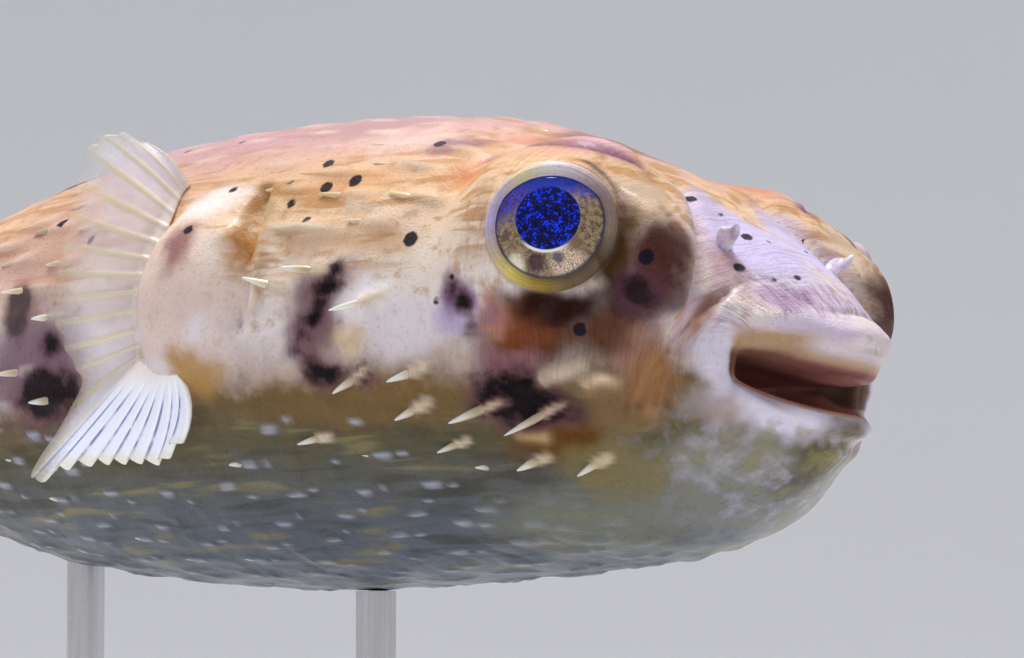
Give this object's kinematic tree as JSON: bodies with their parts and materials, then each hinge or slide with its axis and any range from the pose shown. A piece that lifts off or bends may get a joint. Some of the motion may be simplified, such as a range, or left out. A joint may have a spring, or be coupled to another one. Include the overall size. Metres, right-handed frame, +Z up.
{
  "type": "porcupinefish display model",
  "caption": "Life-size spiny porcupinefish, banked as if swimming, with large eyes and small open mouth, held over a flat oval base by slim rods.",
  "frame": {"origin": "centre of the underside of the display base", "axes": "+X the way the fish faces, +Y to its left, +Z up"},
  "size_m": [0.2191, 0.084, 0.1354],
  "materials": {
    "skin": "wet gloss over fine wrinkles",
    "fin": "wet, slightly translucent",
    "flap": "satin",
    "eye": "polished",
    "base_wood": "satin",
    "rod_steel": "brushed"
  },
  "bodies": {
    "root": {"head": "skin", "trunk": "skin", "tail_stalk": "skin", "fin_pectoral_left": "fin", "fin_pectoral_right": "fin", "fin_dorsal": "fin", "fin_anal": "fin", "fin_caudal": "fin", "nasal_tentacle_left": "flap", "nasal_tentacle_right": "flap", "eye_left": "eye", "eye_right": "eye", "stand_base": "base_wood", "stand_rod_front": "rod_steel", "stand_rod_rear": "rod_steel"}
  },
  "joints": []
}
